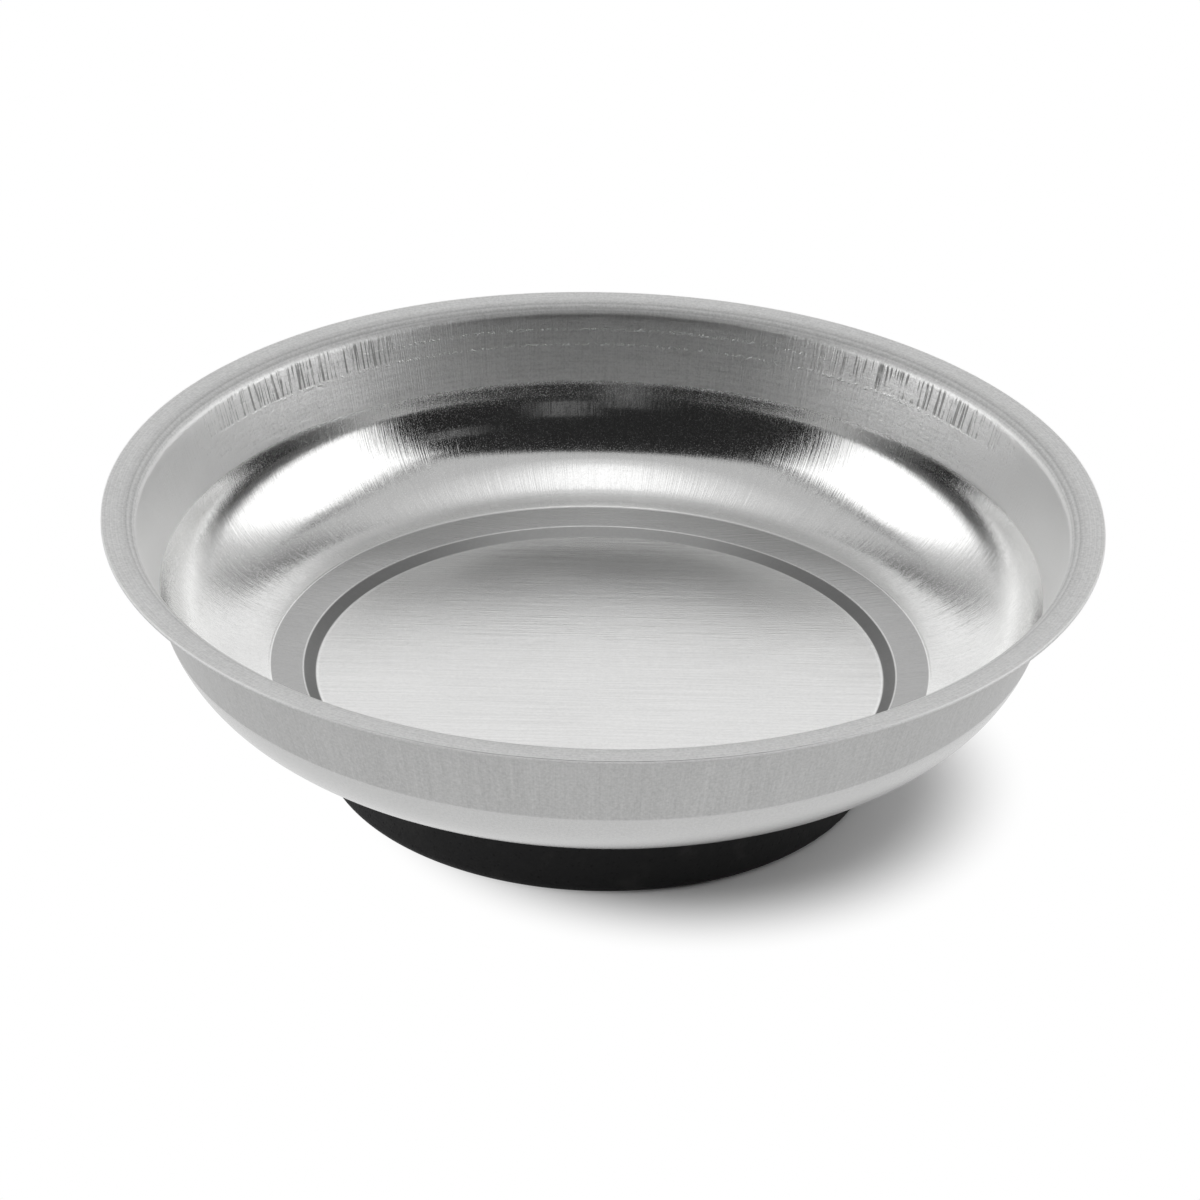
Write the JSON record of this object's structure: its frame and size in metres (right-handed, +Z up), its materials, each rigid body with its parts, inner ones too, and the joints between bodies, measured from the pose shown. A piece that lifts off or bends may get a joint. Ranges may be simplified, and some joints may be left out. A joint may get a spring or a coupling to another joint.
{
  "type": "magnetic parts tray",
  "caption": "Round pressed steel dish with a flared lip on a black rubber base that holds a ring magnet, for keeping loose screws and small tools in place.",
  "frame": {"origin": "on the axis of the dish, at the underside of the rubber base", "axes": "+Z up along the axis of the dish; X and Y are alike because the dish is round"},
  "size_m": [0.15, 0.15, 0.042],
  "materials": {
    "steel": "pressed stainless sheet, bright drawn finish with fine radial draw marks",
    "rubber": "moulded black rubber, matt with fine pits",
    "foam": "grey closed-cell adhesive foam",
    "pole_steel": "zinc plated mild steel",
    "ferrite": "sintered ferrite, dull dark grey",
    "bush_plastic": "natural nylon",
    "rivet_brass": "plain brass tube"
  },
  "bodies": {
    "root": {"bowl": "steel", "boot": "rubber", "bond_upper": "foam", "plate_upper": "pole_steel", "magnet_ring": "ferrite", "bush": "bush_plastic", "plate_lower": "pole_steel", "rivet": "rivet_brass", "bond_lower": "foam"}
  },
  "joints": []
}
